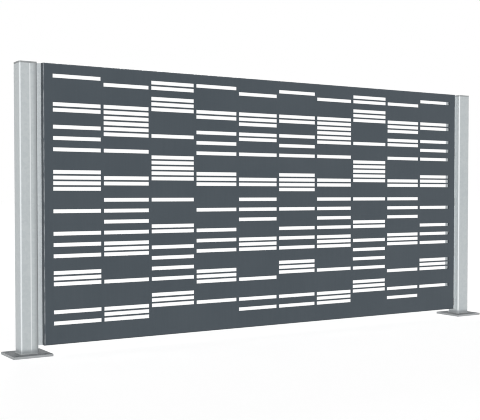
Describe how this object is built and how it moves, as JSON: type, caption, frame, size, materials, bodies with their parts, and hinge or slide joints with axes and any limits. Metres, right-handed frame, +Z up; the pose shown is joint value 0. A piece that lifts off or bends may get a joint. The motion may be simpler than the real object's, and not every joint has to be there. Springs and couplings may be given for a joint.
{
  "type": "slotted sheet metal fence bay",
  "caption": "Fence bay: a folded sheet-metal panel cut with horizontal slots, held by flat strips between two square posts on flanged base plates.",
  "frame": {"origin": "centre of the left base plate's underside, on the ground and on the left post's axis", "axes": "+X along the fence from the left post to the right post, +Z up, and the panel's show face looks to -Y"},
  "size_m": [2.818, 0.18, 1.29],
  "materials": {
    "anthracite_coat": "matt anthracite powder coat",
    "galvanised_post": "hot-dip galvanised, light satin grey",
    "galvanised_plate": "hot-dip galvanised plate, duller and darker grey"
  },
  "bodies": {
    "root": {"slotted_panel": "anthracite_coat", "left_post": "galvanised_post", "right_post": "galvanised_post", "left_post_cap": "galvanised_plate", "right_post_cap": "galvanised_plate", "left_base_plate": "galvanised_plate", "right_base_plate": "galvanised_plate", "left_fixing_strip": "galvanised_post", "right_fixing_strip": "galvanised_post"}
  },
  "joints": []
}
